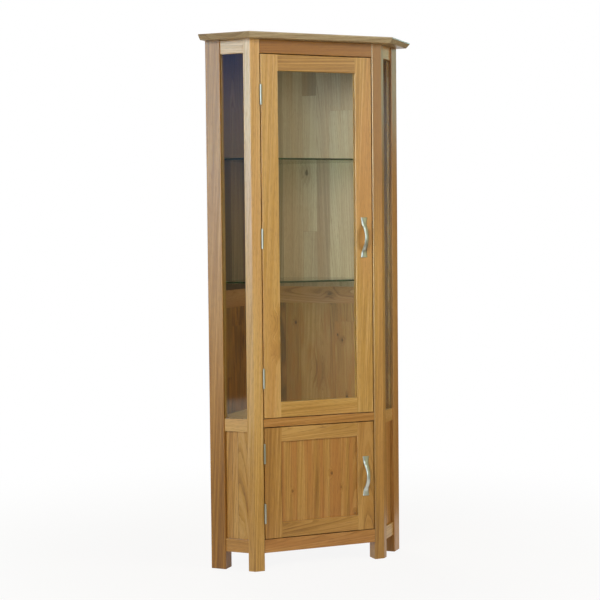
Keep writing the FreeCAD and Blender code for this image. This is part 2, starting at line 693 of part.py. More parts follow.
        frame = door_frame(low, high, top_w, bottom_w)
        open_low, open_high = low + bottom_w, high - top_w
        if glazed:
            seat = door_sheet(open_low, open_high, DOOR_GLASS_SETBACK, DOOR_T, SEAT)
            glass = door_sheet(open_low, open_high, DOOR_GLASS_SETBACK, GLASS_T, SEAT - SEAT_SPARE)
            parts["upper_door_glass"] = glass
            half = DOOR_OPENING_HALF + SEAT
            rebate_low, rebate_high = (-half, open_low - SEAT), (half, open_high + SEAT)
            behind_glass = DOOR_Y + DOOR_GLASS_SETBACK + GLASS_T
            parts["upper_door_beads"] = bead_ring(rebate_low, rebate_high, behind_glass)
        else:
            seat = door_sheet(open_low, open_high, DOOR_PANEL_SETBACK, PANEL_T, SEAT)
            panel = door_sheet(open_low, open_high, DOOR_PANEL_SETBACK, PANEL_T, SEAT - SEAT_SPARE)
            parts["lower_door_panel"] = panel
        screws = handle_screws(middle)
        parts[door + "_handle"] = cut_all(bow_handle(middle), screws)
        parts[door + "_handle_screws"] = Part.makeCompound(screws)
        for name, shape in frame.items():
            parts[door + "_" + name] = cut_all(shape, [seat] + screws + door_screws)
        parts[door + "_catch_plate"] = catch_plate(low + CATCH_RISE)
        parts[door.replace("door", "catch")] = catch(low + CATCH_RISE)

    parts["front_post_left"] = cut_all(parts["front_post_left"], post_screws)
    parts["frame_hinge_screws"] = Part.makeCompound(post_screws)
    parts["hinge_pins"] = Part.makeCompound(pins)
    return parts


def main():
    os.makedirs("parts", exist_ok=True)
    for name, shape in build().items():
        solids = shape.Solids
        if not shape.isValid() or not solids:
            print("check", name, shape.isValid(), len(solids))
        shape = solids[0] if len(solids) == 1 else shape
        shape.exportStep(os.path.join("parts", name + ".step"))
        print(f"{name}: {len(solids)} solid(s)")


main()
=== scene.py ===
"""Looks of the corner display cabinet: oak, glass and nickel on its pieces, in a plain pale studio."""
import json
import logging
import math
from dataclasses import dataclass, field, replace
from enum import Enum
from functools import cache, partial
from typing import Any, Callable, Mapping, Optional

import bpy
from mathutils import Matrix, Vector

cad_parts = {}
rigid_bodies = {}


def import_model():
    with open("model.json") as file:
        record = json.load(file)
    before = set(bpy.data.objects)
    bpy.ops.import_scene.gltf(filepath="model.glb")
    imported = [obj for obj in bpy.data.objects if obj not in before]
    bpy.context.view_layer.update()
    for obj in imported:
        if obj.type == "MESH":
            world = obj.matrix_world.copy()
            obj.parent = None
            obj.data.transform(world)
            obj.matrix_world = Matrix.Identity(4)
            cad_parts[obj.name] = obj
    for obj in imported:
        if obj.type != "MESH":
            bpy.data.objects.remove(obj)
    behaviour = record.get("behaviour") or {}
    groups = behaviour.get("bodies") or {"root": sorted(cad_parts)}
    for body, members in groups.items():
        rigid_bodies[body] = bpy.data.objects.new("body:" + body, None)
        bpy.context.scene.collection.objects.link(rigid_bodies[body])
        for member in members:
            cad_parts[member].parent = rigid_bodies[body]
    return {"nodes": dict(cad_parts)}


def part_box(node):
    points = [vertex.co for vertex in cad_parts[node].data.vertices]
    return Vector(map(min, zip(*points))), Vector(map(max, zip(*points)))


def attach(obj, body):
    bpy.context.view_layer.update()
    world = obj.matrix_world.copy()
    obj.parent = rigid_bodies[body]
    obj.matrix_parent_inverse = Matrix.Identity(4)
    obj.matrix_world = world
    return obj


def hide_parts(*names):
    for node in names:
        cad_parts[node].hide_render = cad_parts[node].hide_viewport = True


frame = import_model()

LOG = logging.getLogger("cabinet")
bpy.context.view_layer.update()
MM = 0.001  # metres in a millimetre
SEED_STEP = 0.73  # metres of tree between one board's piece of grain and the next board's

Socket = bpy.types.NodeSocket
Material = bpy.types.Material
Add = Callable[..., Socket]
Pair = tuple[float, float]
Triple = tuple[float, float, float]
Colour = tuple[float, float, float, float]
WHITE: Colour = (1.0, 1.0, 1.0, 1.0)

# Settings that many nodes share
SMOOTH = {"interpolation_type": "SMOOTHSTEP"}
RGBA = {"data_type": "RGBA"}
TEXTURE = {"vector_type": "TEXTURE"}
ONE_WAY = {"noise_dimensions": "1D"}


def linear(hex_colour: str) -> Colour:
    """Turns an sRGB hex value into the linear colour that a shader takes.

    Args:
        hex_colour: the colour as "#RRGGBB".

    Returns:
        Red, green, blue and an alpha of one.
    """
    channels = [int(hex_colour[n:n + 2], 16) / 255 for n in (1, 3, 5)]
    red, green, blue = [c / 12.92 if c <= 0.04045 else ((c + 0.055) / 1.055) ** 2.4 for c in channels]
    return red, green, blue, 1.0


def add_node(tree: bpy.types.NodeTree, kind: str, inputs: Mapping[Any, Any] | tuple[Any, ...] = (),
             settings: Mapping[str, Any] | str = "", output: Any = 0) -> Optional[Socket]:
    """Adds one shader node with its settings and links.

    Args:
        tree: the node tree that gets the node.
        kind: the node's type, without its leading "ShaderNode".
        inputs: a socket to link, or a value to set, for each input: by name or number, or for the first few.
        settings: properties of the node by name, or its operation.
        output: the name or number of the output that the caller wants.

    Returns:
        That output's socket, or None for a node that has no outputs.
    """
    node = tree.nodes.new("ShaderNode" + kind)
    if isinstance(settings, str):
        settings = {"operation": settings} if settings else {}
    for name, value in settings.items():
        setattr(node, name, value)
    for name, value in inputs.items() if isinstance(inputs, Mapping) else enumerate(inputs):
        if isinstance(value, Socket):
            tree.links.new(value, node.inputs[name])
        else:
            node.inputs[name].default_value = value
    return node.outputs[output] if node.outputs else None


def new_material(name: str) -> tuple[Material, Add]:
    """Makes an empty material.

    Args:
        name: the finish, in a maker's words.

    Returns:
        The material, and add_node bound to its tree.
    """
    material = bpy.data.materials.new(name)
    material.use_nodes = True
    material.node_tree.nodes.clear()
    return material, partial(add_node, material.node_tree)


def dress(node: str, material: Material) -> None:
    """Gives a CAD piece its finish.

    Args:
        node: the piece's name.
        material: the finish, for every slot of the piece.
    """
    for slot in frame["nodes"][node].material_slots:
        slot.material = material
    LOG.info("%s: %s", node, material.name)


def add_object(name: str, data: bpy.types.ID) -> bpy.types.Object:
    """Puts an object in the scene.

    Args:
        name: its name.
        data: its mesh, lamp or camera.

    Returns:
        The object.
    """
    item = bpy.data.objects.new(name, data)
    bpy.context.scene.collection.objects.link(item)
    return item


class Grain(Enum):
    """The way a board's grain runs, in the cabinet's frame."""

    UPRIGHT = (0.0, 0.0, 1.0)
    ACROSS = (1.0, 0.0, 0.0)
    RISING_LEFT = (-1.0, 1.0, 0.0)  # along the left return and the right back wall
    RISING_RIGHT = (1.0, 1.0, 0.0)  # along the right return and the left back wall


class Cut(Enum):
    """How a board was sawn: where the tree's centre line lies, in millimetres from the board's middle.

    The first value is across the board's face and the second into its depth.
    """

    PLAIN = (14.0, 60.0)
    PLAIN_WIDE = (-35.0, 85.0)
    RIFT = (150.0, 150.0)
    QUARTER = (240.0, 12.0)


class Tone(Enum):
    """A board's colours: the deep, the usual, the pale and the blushing one."""

    HONEY = ("#966A2C", "#C2964A", "#DAB574", "#C68F50")
    AMBER = ("#85551D", "#B07B37", "#CA9B58", "#B2773C")
    RUSSET = ("#7E561F", "#B0823B", "#C99E59", "#B17638")
    TAWNY = ("#805412", "#AA7722", "#C4964A", "#AD742A")
    BEIGE = ("#826A4C", "#AF9473", "#C6B18E", "#B28A60")
    STRAW = ("#7F6C4E", "#AC9876", "#C4B592", "#AE9068")
    UMBER = ("#66401F", "#A2743B", "#BC9456", "#A56E34")
    CHESTNUT = ("#70421F", "#AA7542", "#BE8E5C", "#A66C44")
    # the back wall's oak deepened with painted shade, for the left wall inside the cabinet
    DUSK = ("#4A3B2E", "#6A5542", "#8A755C", "#6E5240")


@dataclass(frozen=True)
class Knot:
    """A knot in a board: its middle in the cabinet's frame and its radius, in millimetres."""

    x: float
    y: float
    z: float
    radius: float
    dark_share: float = 1.0  # zero for a knot that lies below the face and only bends the rings


@dataclass(frozen=True)
class Stave:
    """One stave of a panel: where it ends across the panel, in millimetres, and how pale its pieces are.

    It has an end joint at each of the heights in joints, and one more shade than it has joints.
    """

    end: float
    shades: tuple[float, ...] = (0.0,)
    joints: tuple[float, ...] = ()
    blush: float = 0.0


@dataclass(frozen=True)
class Staves:
    """How a panel is glued up from staves, in millimetres."""

    across: Triple  # direction in which one stave follows another
    members: tuple[Stave, ...]
    start: float = 0.0  # where the measure across starts, along that direction
    spread: float = 130.0  # how much the staves' places in the tree differ
    spread_along: float = 3900.0  # the same along the grain
    name_step: float = 10.0  # between one stave's number and the next; pieces above a joint count on from it
    seam: float = 0.7
    seam_share: float = 0.7  # how dark a seam is


@dataclass(frozen=True)
class Oak:
    """Solid European oak, planed, sanded and sprayed with a satin lacquer.

    To the eye: straight fibres with streaks from 5 to 30 mm wide, growth rings that open into arches where
    the saw ran along them, short dark pores, and a soft broad shine. Of two sizes, the second is along the
    grain.
    """

    tone: Tone = Tone.HONEY
    grain: Grain = Grain.UPRIGHT
    cut: Cut = Cut.RIFT
    seed: int = 0
    shade: float = 0.0  # paler above zero, deeper below
    painted_end_shade: Pair = (0.0, 0.0)  # how much paler the board's low and high ends are; the values deepen them with painted shade, where the light falls off towards the floor and under the top
    blush: float = 0.4
    streak: float = 2.0
    knots: tuple[Knot, ...] = ()
    staves: Optional[Staves] = None

    # What all this oak has in common
    lacquer_ior: float = 1.5
    lacquer_roughness: float = 0.32
    pore_roughness: float = 0.6
    dent: Pair = (0.25, 0.2)  # strength and depth in millimetres of the dents in the lacquer
    ring_mm: float = 3.4
    ring_share: float = 0.25  # how much the growth rings differ in tone
    bulge_mm: float = 12.0  # how far the rings bend out round a knot
    knot_edge: Pair = (0.35, 1.0)  # radii between which a knot's dark middle fades
    knot_reach: Pair = (0.6, 3.6)  # radii between which the bend of the rings fades
    knot_rag: Pair = (1.7, 0.8)  # how fine and how deep its outline is notched, in radii
    knot_stretch: float = 0.9  # how much longer it is along the grain
    halo_share: float = 0.3  # how much deeper the wood is round it
    pore_mm: Pair = (1.6, 22.0)  # real pores are 0.3 mm wide, too fine to show
    pore_cut: Pair = (0.5, 0.66)  # levels of the noise between which a pore opens
    pore_share: float = 0.45  # how dark pores are
    late_share: float = 0.3  # how many of them lie outside the early wood
    band_mm: Pair = (5.0, 420.0)
    cloud_mm: Pair = (70.0, 900.0)
    cloud_share: float = 0.5
    blush_cut: Pair = (0.48, 0.7)  # levels of the tint between which the wood blushes
    sway_mm: Pair = (60.0, 900.0)
    stray_mm: float = 9.0  # how far the rings stray as they sway
    taper_share: float = 0.03
    early_share: float = 0.42
    pore_colour: str = "#6B4420"
    knot_colour: str = "#4A2C16"
    seam_colour: str = "#6A4522"
    end_colour: str = "#B5A890"
    end_cut: Pair = (0.35, 1.0)  # how square to the grain a face counts as its end
    end_share: float = 0.8


class Board:
    """The material of one board of oak. Its methods add the nodes and keep what they find about the wood."""

    def __init__(self, oak: Oak, node: str) -> None:
        """Starts the material.

        Args:
            oak: what the board is like.
            node: the name of its piece.
        """
        self.oak = oak
        self.low, self.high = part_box(node)
        self.grain = Vector(oak.grain.value).normalized()
        self.material, self.add = new_material("lacquered_oak_" + node)
        self.here = self.add("TexCoord", output="Object")
        self.seam: Optional[Socket] = None
        self.shade: Any = oak.shade
        self.blush: Any = 0.0
        self.core: Any = 0.0  # one in the dark middle of a knot
        self.halo: Any = 0.0  # one where the rings bend round a knot

    def build(self) -> Material:
        """Adds the nodes.

        Returns:
            The finished material.
        """
        for step in (self._place, self._glue_up, self._knots, self._paint_end_shade, self._noise, self._rings,
                     self._pores, self._tone, self._mix_colour, self._grey_ends, self._lacquer):
            step()
        return self.material

    def _place(self) -> None:
        """Finds the place in the tree, in millimetres from its centre line, with the grain along Z."""
        side = Vector((0, 0, 1)) if self.grain.z == 0 else Vector((1, 0, 0))
        depth = self.grain.cross(side)
        across, into = self.oak.cut.value
        middle = (self.low + self.high) / 2
        heart = middle + (side * across + depth * into) * MM - self.grain * self.oak.seed * SEED_STEP
        turn = Vector((0, 0, 1)).rotation_difference(self.grain).to_euler()
        self.wood = self.add("Mapping", {"Vector": self.here, "Location": heart, "Rotation": turn,
                                         "Scale": (MM, MM, MM)}, TEXTURE)

    def _glue_up(self) -> None:
        """Cuts a panel into staves, and moves each of their pieces to its own place in the tree."""
        add, glue = self.add, self.oak.staves
        if not glue:
            return
        measures = []
        for direction, start in ((glue.across, glue.start), (self.oak.grain.value, 0.0)):
            unit = Vector(direction).normalized() / MM
            length = add("VectorMath", (self.here, unit), "DOT_PRODUCT", "Value")
            measures.append(add("Math", (length, start), "SUBTRACT"))
        across, along = measures
        seam: Any = 0.0
        sums: list[Any] = [0.0, 0.0, 0.0]
        before: Any = 1.0
        for number, stave in enumerate(glue.members):
            past: Any = 0.0
            if stave is not glue.members[-1]:
                past = add("Math", (across, stave.end), "GREATER_THAN")
                line = add("Math", (across, stave.end, glue.seam), "COMPARE")
                seam = add("Math", (seam, line), "MAXIMUM")
            inside = add("Math", (before, past), "SUBTRACT")
            before = past
            name: Any = number * glue.name_step
            shade: Any = stave.shades[0]
            for joint, low, high in zip(stave.joints, stave.shades, stave.shades[1:]):
                above = add("Math", (along, joint), "GREATER_THAN")
                name = add("Math", (name, above), "ADD")
                shade = add("Math", (above, high - low, shade), "MULTIPLY_ADD")
                line = add("Math", (along, joint, glue.seam), "COMPARE")
                line = add("Math", (line, inside), "MULTIPLY")
                seam = add("Math", (seam, line), "MAXIMUM")
            for n, value in enumerate((name, shade, stave.blush)):
                sums[n] = add("Math", (inside, value, sums[n]), "MULTIPLY_ADD")
        name, self.shade, self.blush = sums
        self.seam = seam
        name = add("Math", (name, self.oak.seed + 0.5), "ADD")
        place = add("TexWhiteNoise", {"W": name}, ONE_WAY, "Color")
        reach = (glue.spread, glue.spread, glue.spread_along)
        self.wood = add("VectorMath", (place, reach, self.wood), "MULTIPLY_ADD")

    def _knots(self) -> None:
        """Finds the dark middles of the knots, and the wood that bends round them."""
        add, oak = self.add, self.oak
        fine, deep = oak.knot_rag
        for knot in oak.knots:
            size = [knot.radius * (1 + oak.knot_stretch * abs(share)) * MM for share in self.grain]
            middle = Vector((knot.x, knot.y, knot.z)) * MM
            where = add("Mapping", {"Vector": self.here, "Location": middle, "Scale": size}, TEXTURE)
            ragged = add("TexNoise", {"Vector": where, "Scale": fine, "Detail": 2.0}, output="Color")
            where = add("VectorMath", (ragged, (deep, deep, deep), where), "MULTIPLY_ADD")
            where = add("VectorMath", (where, (deep / 2, deep / 2, deep / 2)), "SUBTRACT")
            reach = add("VectorMath", (where,), "LENGTH", "Value")
            dark, bend = [add("MapRange", (reach, *fade, 1.0, 0.0), SMOOTH)
                          for fade in (oak.knot_edge, oak.knot_reach)]
            dark = add("Math", (dark, knot.dark_share), "MULTIPLY")
            self.core = add("Math", (self.core, dark), "MAXIMUM")
            self.halo = add("Math", (self.halo, bend), "MAXIMUM")

    def _paint_end_shade(self) -> None:
        """Lets the shade change from the middle of an upright board to its ends: painted shade, where the
        light falls off towards the floor and under the top.
        """
        if not any(self.oak.painted_end_shade):
            return
        middle = (self.low.z + self.high.z) / 2
        height = self.add("SeparateXYZ", (self.here,), output="Z")
        for end, change in zip((self.low.z, self.high.z), self.oak.painted_end_shade):
            part = self.add("MapRange", (height, middle, end, 0.0, change), SMOOTH)
            self.shade = self.add("Math", (part, self.shade), "ADD")

    def _noise(self) -> None:
        """Adds the three noises that are stretched along the grain."""
        add, oak = self.add, self.oak
        self.sway, self.specks, self.cloud = [
            add("TexNoise", {"Vector": add("VectorMath", (self.wood, (1, 1, wide / long)), "MULTIPLY"),
                             "Scale": 1 / wide, "Detail": detail}, output=output)
            for (wide, long), detail, output in ((oak.sway_mm, 2.0, "Color"), (oak.pore_mm, 1.0, "Fac"),
                                                 (oak.cloud_mm, 1.0, "Color"))
        ]

    def _rings(self) -> None:
        """Finds the distance from the tree's middle, each growth ring's own number, and its early wood."""
        add, oak = self.add, self.oak
        strayed = add("VectorMath", (self.sway, (oak.stray_mm, oak.stray_mm, 0), self.wood), "MULTIPLY_ADD")
        flat = add("VectorMath", (strayed, (1, 1, 0)), "MULTIPLY")
        distance = add("VectorMath", (flat,), "LENGTH", "Value")
        self.height = add("SeparateXYZ", (self.wood,), output="Z")
        cone = add("Math", (self.height, oak.taper_share, distance), "MULTIPLY_ADD")
        self.radius = add("Math", (self.halo, oak.bulge_mm, cone), "MULTIPLY_ADD")
        phase = add("Math", (self.radius, oak.ring_mm), "DIVIDE")
        number = add("Math", (phase,), "FLOOR")
        self.ring = add("TexWhiteNoise", {"W": number}, ONE_WAY, "Value")
        part = add("Math", (phase,), "FRACT")
        self.early = add("MapRange", (part, 0.0, oak.early_share, 1.0, 0.0), SMOOTH)

    def _pores(self) -> None:
        """Finds the pores: dashes along the grain, most of them in the early wood."""
        add, oak = self.add, self.oak
        dash = add("MapRange", (self.specks, *oak.pore_cut, 0.0, 1.0))
        crowd = add("Math", (self.early, 1 - oak.late_share, oak.late_share), "MULTIPLY_ADD")
        self.pores = add("Math", (dash, crowd), "MULTIPLY")

    def _tone(self) -> None:
        """Finds how pale the wood is, from zero to one, and the tint that makes it blush."""
        add, oak = self.add, self.oak
        wide, long = oak.band_mm
        place = add("CombineXYZ", {0: add("Math", (self.radius, wide), "DIVIDE"),
                                   2: add("Math", (self.height, long), "DIVIDE")})
        band = add("TexNoise", {"Vector": place, "Scale": 1.0, "Detail": 5.0, "Roughness": 0.7}, output="Fac")
        weights = [(band, oak.streak), (add("SeparateColor", (self.cloud,), output="Red"), oak.cloud_share),
                   (self.ring, oak.ring_share), (self.early, -oak.ring_share),
                   (self.halo, -oak.halo_share), (self.shade, 1.0)]
        self.tone = 0.5 - (oak.streak + oak.cloud_share) / 2
        for part, weight in weights:
            self.tone = add("Math", (part, weight, self.tone), "MULTIPLY_ADD")
        tint = add("SeparateColor", (self.cloud,), output="Green")
        self.tint = add("Math", (tint, self.blush), "ADD")

    def _mix_colour(self) -> None:
        """Mixes the wood's colours, and those of its pores, knots and seams."""
        add, oak = self.add, self.oak
        deep, usual, pale, blush = [linear(c) for c in oak.tone.value]
        low = add("MapRange", (self.tone, 0.0, 0.5, 0.0, 1.0))
        high = add("MapRange", (self.tone, 0.5, 1.0, 0.0, 1.0))
        pink = add("MapRange", (self.tint, *oak.blush_cut, 0.0, oak.blush))
        dark = add("Math", (self.pores, oak.pore_share), "MULTIPLY")
        colour = add("Mix", {0: low, 6: deep, 7: usual}, RGBA, 2)
        layers = [(high, pale), (pink, blush), (dark, linear(oak.pore_colour))]
        if oak.knots:
            layers.append((self.core, linear(oak.knot_colour)))
        if self.seam:
            line = add("Math", (self.seam, oak.staves.seam_share), "MULTIPLY")
            layers.append((line, linear(oak.seam_colour)))
        for share, layer in layers:
            colour = add("Mix", {0: share, 6: colour, 7: layer}, RGBA, 2)
        self.colour = colour

    def _grey_ends(self) -> None:
        """Darkens and greys the faces that the saw cut across the grain."""
        add, oak = self.add, self.oak
        normal = add("TexCoord", output="Normal")
        facing = add("VectorMath", (normal, self.grain), "DOT_PRODUCT", "Value")
        size = add("Math", (facing,), "ABSOLUTE")
        share = add("MapRange", (size, *oak.end_cut, 0.0, oak.end_share))
        self.colour = add("Mix", {0: share, 6: self.colour, 7: linear(oak.end_colour)},
                          {**RGBA, "blend_type": "MULTIPLY"}, 2)

    def _lacquer(self) -> None:
        """Finishes the board with its lacquer, which sinks a little into pores and seams."""
        add, oak = self.add, self.oak
        height = add("Math", (self.pores, -1.0), "MULTIPLY")
        if self.seam:
            height = add("Math", (height, self.seam), "SUBTRACT")
        strength, depth = oak.dent
        bump = add("Bump", {"Strength": strength, "Distance": depth * MM, "Height": height})
        rough = add("MapRange", (self.pores, 0.0, 1.0, oak.lacquer_roughness, oak.pore_roughness))
        shader = add("BsdfPrincipled", {"Base Color": self.colour, "Roughness": rough, "IOR": oak.lacquer_ior,
                                        "Normal": bump})
        add("OutputMaterial", {"Surface": shader})


def dress_in_oak(node: str, oak: Oak) -> None:
    """Gives a CAD piece its own board of oak.

    Args:
        node: the piece's name.
        oak: what its board is like.
    """
    dress(node, Board(oak, node).build())


@dataclass(frozen=True)
class FloatGlass:
    """Clear float glass, toughened, with polished edges.

    To the eye: nearly no colour through the face, the deep green of the iron in it along the edges, and a
    mirror's clear reflections.
    """

    face: str = "#F4F8F5"
    edge: str = "#2F6B55"
    edge_turn: Pair = (0.5, 0.9)  # how square to the pane a face counts as edge, and as face
    ior: float = 1.45
    shadow: str = "#EDF3EF"

    def material(self, name: str, across: Vector) -> Material:
        """Builds the glass for one pane.

        Args:
            name: the pane's name.
            across: the direction square to its faces.

        Returns:
            The pane's material, which lets the lamps' light through.
        """
        material, add = new_material("float_glass_" + name)
        normal = add("TexCoord", output="Normal")
        facing = add("VectorMath", (normal, across), "DOT_PRODUCT", "Value")
        size = add("Math", (facing,), "ABSOLUTE")
        share = add("MapRange", (size, *self.edge_turn, 0.0, 1.0))
        colour = add("Mix", {0: share, 6: linear(self.edge), 7: linear(self.face)}, RGBA, 2)
        glass = add("BsdfPrincipled", {"Base Color": colour, "Roughness": 0.0, "IOR": self.ior,
                                       "Transmission Weight": 1.0})
        clear = add("BsdfTransparent", {"Color": linear(self.shadow)})
        shadow = add("LightPath", output="Is Shadow Ray")
        mixed = add("MixShader", (shadow, glass, clear))
        add("OutputMaterial", {"Surface": mixed})
        return material


@dataclass(frozen=True)
class BrushedMetal:
    """Metal that was brushed with a fine belt, and plated.

    To the eye: a soft stretched highlight and hair lines along the brushing.
    """

    name: str
    colour: str
    roughness: float
    line_mm: Pair = (0.35, 12.0)  # real brush lines are 0.05 mm wide, too fine to show
    line_cut: Pair = (0.3, 0.7)  # levels of the noise between which the roughness changes
    spread: float = 0.06  # by how much it changes, up and down
    dent: Pair = (0.15, 0.05)  # strength and depth in millimetres of the lines

    @cache
    def material(self) -> Material:
        """Builds the metal.

        Returns:
            The material, which all its pieces share.
        """
        material, add = new_material(self.name)
        wide, long = self.line_mm
        here = add("TexCoord", output="Object")
        stretched = add("VectorMath", (here, (1 / (wide * MM), 1 / (wide * MM), 1 / (long * MM))), "MULTIPLY")
        lines = add("TexNoise", {"Vector": stretched, "Scale": 1.0, "Detail": 2.0}, output="Fac")
        rough = add("MapRange", (lines, *self.line_cut, self.roughness - self.spread,
                                 self.roughness + self.spread))
        strength, depth = self.dent
        bump = add("Bump", {"Strength": strength, "Distance": depth * MM, "Height": lines})
        shader = add("BsdfPrincipled", {"Base Color": linear(self.colour), "Metallic": 1.0,
                                        "Roughness": rough, "Normal": bump})
        add("OutputMaterial", {"Surface": shader})
        return material


@dataclass(frozen=True)
class MouldedPlastic:
    """Brown ABS, moulded in a finely eroded tool.

    To the eye: an even colour with a dull, slightly pebbled skin.
    """

    name: str = "moulded_brown_abs"
    colour: str = "#6E4C30"
    ior: float = 1.54
    roughness: float = 0.5
    pebble_mm: float = 0.6  # the real texture is 0.1 mm, too fine to show
    dent: Pair = (0.2, 0.05)  # strength and depth in millimetres of the texture

    @cache
    def material(self) -> Material:
        """Builds the plastic.

        Returns:
            The material, which all its pieces share.
        """
        material, add = new_material(self.name)
        here = add("TexCoord", output="Object")
        pebble = add("TexNoise", {"Vector": here, "Scale": 1 / (self.pebble_mm * MM), "Detail": 2.0},
                     output="Fac")
        strength, depth = self.dent
        bump = add("Bump", {"Strength": strength, "Distance": depth * MM, "Height": pebble})
        shader = add("BsdfPrincipled", {"Base Color": linear(self.colour), "Roughness": self.roughness,
                                        "IOR": self.ior, "Normal": bump})
        add("OutputMaterial", {"Surface": shader})
        return material


NICKEL = BrushedMetal("satin_nickel", "#C4C6BC", 0.4)
ZINC = BrushedMetal("zinc_plated_steel", "#A9ABAD", 0.38)
HINGES = ("upper_hinge_post_leaves", "upper_hinge_door_leaves", "lower_hinge_post_leaves",
          "lower_hinge_door_leaves", "hinge_pins")


class Side(Enum):
    """The cabinet's two sides, with the sign of X on each."""

    LEFT = -1
    RIGHT = 1

    @property
    def word(self) -> str:
        """The side as it stands in the names of pieces."""
        return self.name.lower()


@dataclass
class Front:
    """The fixed frame round the doors: two posts and three rails."""

    boards: Mapping[str, Oak] = field(default_factory=lambda: {
        # The posts' deeper low and high ends are painted shade.
        "front_post_left": Oak(cut=Cut.QUARTER, seed=1, shade=0.27, painted_end_shade=(-0.42, -0.12)),
        "front_post_right": Oak(cut=Cut.QUARTER, seed=2, shade=-0.14, painted_end_shade=(-0.25, -1.0)),
        "front_top_rail": Oak(Tone.TAWNY, Grain.ACROSS, Cut.RIFT, 3, shade=-0.5),
        "front_mid_rail": Oak(Tone.AMBER, Grain.ACROSS, Cut.RIFT, 4),
        "front_bottom_rail": Oak(Tone.AMBER, Grain.ACROSS, Cut.PLAIN, 5),
    })

    def build(self) -> None:
        """Dresses the posts and rails."""
        for node, oak in self.boards.items():
            dress_in_oak(node, oak)


@dataclass
class Return:
    """One of the two slanted sides: rear post, three rails, a pane in beads, and a panel of staves."""

    side: Side
    post: Oak
    rails: Oak
    panel: Oak
    glass: FloatGlass = FloatGlass()
    shades: Triple = (0.0, 0.0, 0.0)  # of the rails, from the top down
    first_stave: float = 64.0
    staves: tuple[Stave, ...] = (Stave(23.0, (-0.1,)), Stave(44.0, (0.12,)), Stave(66.0, (-0.04,)),
                                 Stave(88.0, (-0.14,)), Stave(165.0, (0.06,)))

    def build(self) -> None:
        """Dresses the return."""
        word, sign = self.side.word, self.side.value
        grain = Grain.RISING_LEFT if self.side is Side.LEFT else Grain.RISING_RIGHT
        dress_in_oak("rear_post_" + word, self.post)
        for number, level in enumerate(("top", "mid", "bottom")):
            oak = replace(self.rails, grain=grain, seed=self.rails.seed + number, shade=self.shades[number])
            dress_in_oak(f"side_{level}_rail_{word}", oak)
        staves = Staves(grain.value, self.staves, start=self.first_stave)
        dress_in_oak("side_panel_" + word, replace(self.panel, staves=staves))
        dress_in_oak("side_glass_beads_" + word, replace(self.rails, grain=Grain.UPRIGHT))
        across = Vector((sign, -1, 0)).normalized()
        dress("side_glass_" + word, self.glass.material("side_" + word, across))


